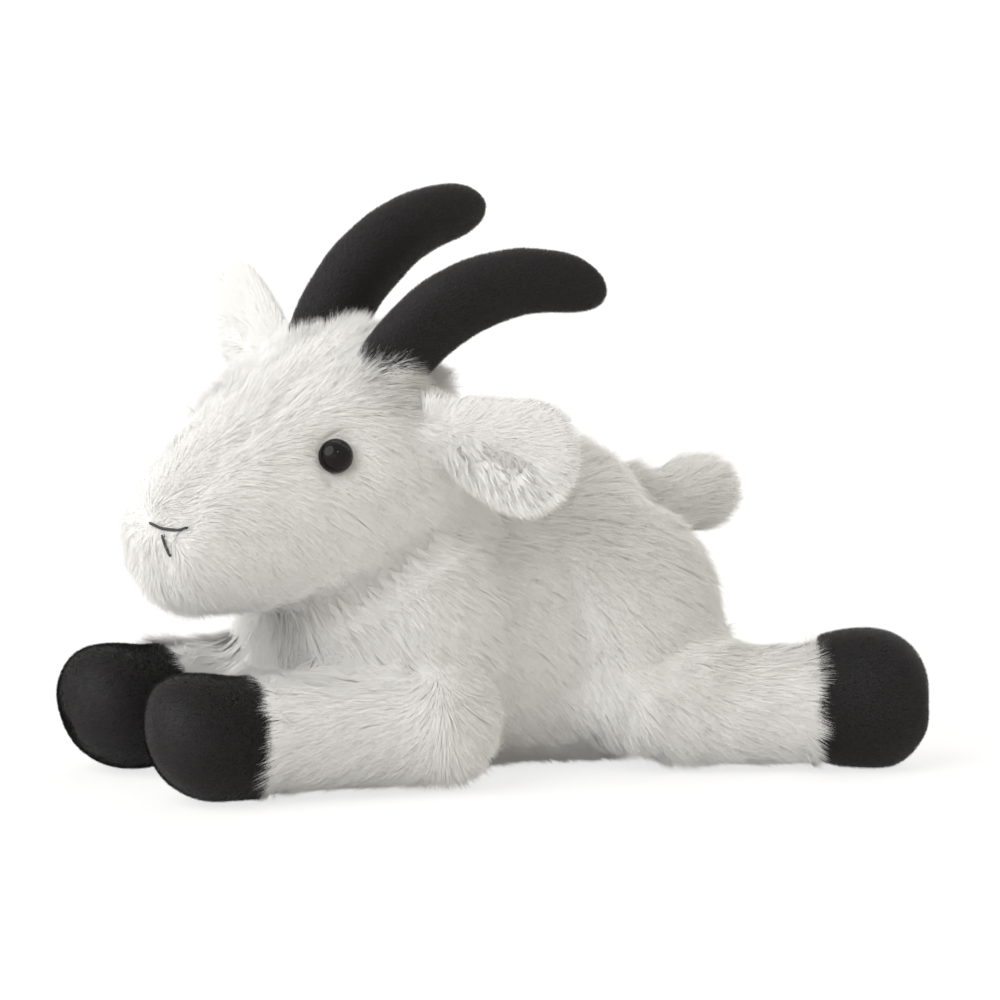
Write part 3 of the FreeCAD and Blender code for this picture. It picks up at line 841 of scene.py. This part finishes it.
overBack = np.array((0.0, brush["back"], 0.0))  # towards the tail


def steer(comb, near, direction, lose, gain):
    return comb * (1 - lose * near[:, None]) + direction * gain * near[:, None]


def combHead(points, normals, local, pile, thick):
    sideFacing = np.abs(normals @ np.array(sideways))[:, None]
    comb = backward[None, :] + down[None, :] * (brush["brow"] + brush["cheek"] * sideFacing)
    for side in ("left", "right"):
        root = pivotOf("ear_" + side + "_flap")
        run = (middleOf("ear_lining_" + side) - root).normalized()
        near = 1.0 - blendTo(farFrom(root, points), *brush["ear"])
        comb = steer(comb, near, np.array(run), brush["earLose"], brush["earGain"])
    muzzle = blendTo(-local[:, 1], *brush["muzzle"])
    pile *= 1.0 - brush["muzzleShort"] * muzzle
    lips = np.hypot(local[:, 0] - nose[0], local[:, 2] - nose[2])
    pile *= 1.0 - brush["lipsShort"] * (1.0 - blendTo(lips, *brush["lips"])) * muzzle
    away, far = awayFrom(stitchTree, points)
    near = 1.0 - blendTo(far, *brush["parting"])
    comb = steer(comb, near, unit(away), brush["partingLose"], brush["partingGain"])
    pile *= 1.0 - brush["partingShort"] * near
    thick *= brush["stitchThin"] + (1.0 - brush["stitchThin"]) * blendTo(far, *brush["stitch"])
    for spot in eyeSpots.values():
        far = farFrom(spot, points)
        near = 1.0 - blendTo(far, *brush["lid"])
        comb = steer(comb, near, unit(points - np.array(spot)), brush["lidLose"], brush["lidGain"])
        pile *= 1.0 - brush["lidShort"] * near
        thick *= blendTo(far, *brush["dome"])
    return comb


def alongLeg(points, leg):  # how far each point lies from the joint towards the hoof
    return (points - np.array(pivotOf(leg + "_splay"))) @ np.array(legAhead[leg])


def combLeg(points, leg):  # brushed like the body at the joint, and along the leg further out
    fromBody = 1.0 - blendTo(alongLeg(points, leg), *brush["shoulder"])[:, None]
    asBody = overBack[None, :] + down[None, :] * brush["shoulderDown"]
    asLeg = np.array(legAhead[leg])[None, :] + down[None, :] * brush["legDown"]
    return asLeg * (1 - fromBody) + asBody * fromBody


# the pile stands up between the right eye and the brow, under the chin and round the horns
def raiseHead(points, normals, local, comb, pile):
    spot = eyeSpots["right"]
    far = farFrom(spot, points)
    inner = blendTo((points - np.array(spot)) @ np.array(sideways), *brush["tuftSide"])
    inner = inner * blendTo(far, *brush["tuftStart"])
    tuft = inner * (1.0 - blendTo(far, *brush["tuftEnd"]))
    comb *= 1.0 - brush["tuftRise"] * tuft[:, None]
    pile = pile * (1 - tuft) + brush["tuftLength"] * tuft
    chin = blendTo(-local[:, 1], *brush["chin"]) * blendTo(-normals[:, 2], *brush["chinFacing"])
    comb *= 1.0 - brush["chinRise"] * chin[:, None]
    for side in ("left", "right"):
        far = farFrom(pivotOf("horn_" + side + "_bend"), points)
        comb *= 1.0 - brush["hornRise"] * (1.0 - blendTo(far, *brush["horn"]))[:, None]
    return comb, pile


def combField(mesh, body):
    points = coordinates(mesh)
    normals = vertexNormals(mesh)
    pile = 1.0 + brush["uneven"] * unevenness(points, brush["unevenSize"], 9)
    thick = np.ones(len(points))
    if body == "head":
        local = np.array([fromHead(point) for point in points])
        comb = inSkin(combHead(points, normals, local, pile, thick), normals)
        comb, pile = raiseHead(points, normals, local, comb, pile)
    elif body == "torso":
        sideFacing = np.abs(normals[:, 0:1])
        fall = brush["spine"] + brush["flank"] * sideFacing
        comb = inSkin(overBack[None, :] + down[None, :] * fall, normals)
    elif body == "tail":
        comb = inSkin(np.array(brush["tail"])[None, :] + np.zeros_like(points), normals)
    else:
        comb = inSkin(combLeg(points, body), normals)
        before, after = brush["rim"]
        rim = blendTo(alongLeg(points, body), hoofStart[body] - before, hoofStart[body] - after)
        comb *= 1.0 - brush["rimRise"] * rim[:, None]
    flat = blendTo(-normals[:, 2], *brush["belly"]) * (1.0 - blendTo(points[:, 2], *brush["bellyHeight"]))
    thick *= 1.0 - flat  # none on the flat that it lies on
    pile *= brush["lowLength"] + (1.0 - brush["lowLength"]) * blendTo(points[:, 2], *brush["low"])
    dressSkin(mesh, comb, normals, pile, thick)


giveLength = {"tailBefore": 0.012, "tailAfter": 0.010, "legBefore": 0.020, "legAfter": 0.024}


def attach(piece, body):  # torso and head pieces follow their bodies; tail and leg pieces are baked where they lie and follow no joint
    if body in ("torso", "head"):
        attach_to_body(piece, body)
    elif body == "tail":
        pivot = pivotOf("tail_wag")
        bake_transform(piece)
    else:
        pivot = pivotOf(body + "_splay")
        run = legAhead[body]
        tuple(pivot - run * giveLength["legBefore"])
        tuple(pivot + run * giveLength["legAfter"])
        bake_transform(piece)


def makeCushion(index, body, nodes):
    name = camel(body) + "Plush"
    cushion = closedShare(name, nodes, form["shareStep"] * index)
    attach(cushion, body)
    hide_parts(*nodes)
    print(name, len(cushion.data.polygons), "faces")
    inner = [skinSurface.find_nearest(centre)[3] > innerLook["reach"] for centre in faceCentres(cushion.data)]
    skin = part(cushion.data, name + "InnerSkin", inner)  # the walls that show when a leg swings out
    combField(skin, body)
    fur = growPile(name + "Inner", skin, innerLook, pileHair, 120 + index, innerLook["most"])
    attach(fur, body)


def growPanel(index, node, body):
    name = pieceNames.get(node, node.replace("_skin", "").replace("_", "")) + "Fur"
    skin = part(whole, name + "Skin", [label == node for label in faceLabels])
    combField(skin, body)
    fur = growPile(name, skin, faceLook if body == "head" else longLook, pileHair, 20 + index)
    attach(fur, body)


nodeBody = {node: body for body, nodes in whiteBodies.items() for node in nodes}
pieceNames = {"head_side_left": "cheekLeft", "head_side_right": "cheekRight", "head_gusset": "brow",
              "chin_panel": "chin", "body_side_left": "flankLeft", "body_side_right": "flankRight",
              "belly_panel": "belly", "tail_skin": "tailPlush"}
for index, (body, nodes) in enumerate(sorted(whiteBodies.items())):
    makeCushion(index, body, nodes)
for index, node in enumerate(skinNodes):
    growPanel(index, node, nodeBody[node])
print("long pile grown", strandTotal)


# ears: long pile behind and round the rim, a short lining in the hollow in front
earLook = {"voxel": 0.0015, "smoothing": 5, "labelStep": 3, "inset": 0.0012, "fill": 0.35,
           "crease": 0.0022, "creaseReach": 0.0065, "creaseStart": (0.05, 0.25), "creaseEnd": (0.6, 0.9),
           "pocketLow": 0.36, "pocketMiddle": 0.50, "pocketLength": 0.40, "pocketHeight": 0.44,
           "fan": 0.8, "pile": 0.62, "tipPile": 0.18, "tipStart": (0.4, 0.9), "most": 90000}
liningLook = dict(longLook, density=9.0e6, length=0.0034, width=0.00024, lift=0.70, stray=0.20, wave=0.20,
                  waveSize=0.008, clumpSize=0.0018)


def makeEar(side, seed):
    body = "ear_" + side
    outer = "ear_outer_" + side
    lining = "ear_lining_" + side
    name = "ear" + side.title()
    root = np.array(pivotOf(body + "_flap"))
    mesh = softForm(name, [outer, lining], earLook["voxel"], earLook["smoothing"])
    points = coordinates(mesh)
    tree, labels = labelTree([outer, lining], earLook["labelStep"])
    middle = points.mean(axis=0)
    run = unit((middle - root)[None, :])[0]  # from the root to the tip
    hinge = np.array(axisOf(body + "_flap"))
    hinge -= run * (hinge @ run)
    hinge /= -np.linalg.norm(hinge) * np.sign(hinge[2])  # across the ear, downwards
    fold = (points - root) @ hinge
    reach = (points - root) @ run
    tip = reach.max()
    spread = np.abs(fold).max()
    front = np.array([labels[tree.find(point)[1]] == lining for point in points])
    crease = fading(fold - earLook["pocketLow"] * spread, earLook["creaseReach"])
    start, full = earLook["creaseStart"]
    fade, end = earLook["creaseEnd"]
    crease *= blendTo(reach, start * tip, full * tip) * (1 - blendTo(reach, fade * tip, end * tip))
    depth = earLook["inset"] + earLook["crease"] * crease * front
    setCoordinates(mesh, points - vertexNormals(mesh) * depth[:, None])
    setSmooth(mesh)
    points = coordinates(mesh)
    normals = vertexNormals(mesh)
    skin = mesh.copy()
    outward = (points - root) + hinge[None, :] * fold[:, None] * earLook["fan"]
    start, full = earLook["tipStart"]
    pile = earLook["pile"] + earLook["tipPile"] * blendTo(reach, start * tip, full * tip)
    dressSkin(skin, inSkin(outward, normals), normals, pile, np.ones(len(points)))
    centres = faceCentres(skin) - root
    lengthwise = (centres @ run / tip - earLook["pocketMiddle"]) / earLook["pocketLength"]
    crosswise = (centres @ hinge / spread - earLook["pocketLow"]) / earLook["pocketHeight"]
    isFront = np.array([label == lining for label in nearestLabels(skin, tree, labels)])
    isFront &= lengthwise ** 2 + crosswise ** 2 < 1.0
    cushion = newPiece(name, mesh, pileSkin)
    back = part(skin, "earBack", ~isFront)
    face = part(skin, "earFace", isFront)
    outerFur = growPile(name + "Fur", back, faceLook, pileHair, seed, earLook["most"])
    innerFur = growPile(name + "Lining", face, liningLook, pileHair, seed + 1, earLook["most"])
    for item in (cushion, outerFur, innerFur):
        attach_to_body(item, body)
    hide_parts(outer, lining)


makeEar("left", 91)
makeEar("right", 97)
print("ears made", strandTotal)


# hooves and horns: firm and black, with a short nap
velboaForm = {"voxel": 0.0016, "smoothing": 5, "inset": 0.0012, "lump": 0.0004, "lumpSize": 0.014,
              "floorGap": 0.0006, "fill": 0.8, "hornBack": 0.8, "hornUp": 0.35, "hoofUp": -0.3,
              "bareHeight": 0.0012, "most": 60000}
velboaLook = {"density": 9.0e6, "length": 0.0014, "width": 0.00024, "lift": 0.80, "stray": 0.22, "wave": 0.15,
              "waveSize": 0.004, "clump": 0.10, "clumpSize": 0.0012, "softness": 0.80}


def makeVelboa(index, node):
    body = frame["nodes"][node]["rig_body"]
    filling = node.replace("hoof_cover", "hoof_stuffing").replace("horn_skin", "horn_stuffing")
    name = camel(node.replace("_hoof_cover", "_hoof").replace("horn_skin", "horn"))
    mesh = softForm(name, [node, filling], velboaForm["voxel"], velboaForm["smoothing"])
    setSmooth(mesh)
    points = coordinates(mesh)
    normals = vertexNormals(mesh)
    depth = velboaForm["inset"] - velboaForm["lump"] * unevenness(points, velboaForm["lumpSize"], index)
    points -= normals * depth[:, None]
    points[:, 2] = np.maximum(points[:, 2], velboaForm["floorGap"])
    setCoordinates(mesh, points)
    if body.startswith("horn"):
        flow = backward * velboaForm["hornBack"] + np.array((0, 0, velboaForm["hornUp"]))
    else:
        flow = np.array(legAhead[body]) + np.array((0, 0, velboaForm["hoofUp"]))
    skin = mesh.copy()
    comb = inSkin(flow[None, :] + np.zeros_like(points), normals)
    thick = (points[:, 2] > velboaForm["bareHeight"]).astype(float)
    dressSkin(skin, comb, normals, np.ones(len(points)), thick)
    piece = newPiece(name, mesh, blackPile)
    nap = growPile(name + "Nap", skin, velboaLook, napHair, 60 + index, velboaForm["most"])
    for item in (piece, nap):
        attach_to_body(item, body)
    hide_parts(node, filling)


for index, node in enumerate(sorted(frame["nodes"])):
    if node.endswith("hoof_cover") or node.startswith("horn_skin"):
        makeVelboa(index, node)
print("hooves and horns made", strandTotal)


# eyes, washers, threads and the neck filling
def dress(node, material):
    mesh = frame["nodes"][node].data
    mesh.materials.clear()
    mesh.materials.append(material)
    setSmooth(mesh)
    mesh.set_sharp_from_angle(angle=math.radians(35))


for side in ("left", "right"):
    dress("eye_" + side, eyeGloss)
    dress("eye_washer_" + side, washerPlastic)


def smoothed(path, rounds):
    for turn in range(rounds):
        inside = [(a + b * 2 + c) / 4 for a, b, c in zip(path, path[1:], path[2:])]
        path = [path[0]] + inside + [path[-1]]
    return path


def layOnSkin(path):  # follows the skin, and both ends dip into it
    found = [skinSurface.find_nearest(point)[:2] for point in path]
    path = smoothed([place + normal * threadLook["rise"] for place, normal in found], threadLook["settling"])
    first = path[0] - found[0][1] * threadLook["dip"]
    last = path[-1] - found[-1][1] * threadLook["dip"]
    share = threadLook["dipShare"]
    return [first, path[0].lerp(first, share)] + path + [path[-1].lerp(last, share), last]


def threadAlong(name, path, outward, material, node, body, onSkin=False):
    steps = [Vector(point) for point in path]
    fine = []
    for first, second in zip(steps, steps[1:]):
        count = max(2, int((second - first).length / threadLook["step"]))
        fine += [first.lerp(second, step / count) for step in range(count)]
    fine.append(steps[-1])
    fine = smoothed(fine, threadLook["smoothing"])
    if onSkin:
        fine = layOnSkin(fine)
    bm = bmesh.new()
    rings = []
    travelled = 0.0
    for index, point in enumerate(fine):
        before = fine[max(index - 1, 0)]
        after = fine[min(index + 1, len(fine) - 1)]
        travelled += (point - before).length
        run = (after - before).normalized()
        across = run.cross(outward)
        across = across.normalized() if across.length > 0.05 else sideways.copy()
        lift = across.cross(run).normalized()
        ring = []
        for corner in range(threadLook["sides"]):
            angle = 2 * math.pi * corner / threadLook["sides"]
            turned = 2 * math.pi * travelled / threadLook["pitch"] / 2
            ply = math.cos(2 * (angle - turned))  # two plies twisted round each other
            radius = threadLook["radius"] + threadLook["twist"] * ply
            spot = point + across * math.cos(angle) * radius + lift * math.sin(angle) * radius
            ring.append(bm.verts.new(spot))
        rings.append(ring)
    for first, second in zip(rings, rings[1:]):
        for corner in range(threadLook["sides"]):
            following = (corner + 1) % threadLook["sides"]
            bm.faces.new((first[corner], first[following], second[following], second[corner]))
    bm.faces.new(rings[0][::-1])
    bm.faces.new(rings[-1])
    bmesh.ops.recalc_face_normals(bm, faces=bm.faces)
    mesh = bpy.data.meshes.new(name)
    bm.to_mesh(mesh)
    bm.free()
    setSmooth(mesh)
    piece = newPiece(name, mesh, material)
    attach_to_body(piece, body)
    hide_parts(node)


for stitch in ("nose", "mouth"):
    threadAlong(stitch + "Thread", stitchPaths[stitch], ahead, blackThread, stitch + "_stitch", "head",
                True)
closing = {"stitches": 9, "margin": 0.001, "height": 0.0009}
low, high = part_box("belly_closing_stitch")
margin = closing["margin"]
zigzag = []
for step in range(closing["stitches"] + 1):
    side = -1 if step % 2 == 0 else 1
    along = low[1] + margin + (high[1] - low[1] - 2 * margin) * step / closing["stitches"]
    zigzag.append(Vector((side * (high[0] - margin), along, closing["height"])))
threadAlong("closingThread", zigzag, Vector((0, 0, -1)), whiteThread, "belly_closing_stitch", "torso")

neckLook = {"voxel": 0.002, "smoothing": 4, "inset": 0.0012, "lump": 0.0008, "lumpSize": 0.009, "fill": 0.8}
filling = softForm("neckFill", ["neck_stuffing"], neckLook["voxel"], neckLook["smoothing"])
points = coordinates(filling)
depth = neckLook["inset"] + neckLook["lump"] * unevenness(points, neckLook["lumpSize"], 5)
points -= vertexNormals(filling) * depth[:, None]
setCoordinates(filling, points)
setSmooth(filling)
lump = newPiece("neckFill", filling, innerFill)
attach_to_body(lump, "neck")
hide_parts("neck_stuffing")
print("small pieces made", strandTotal)
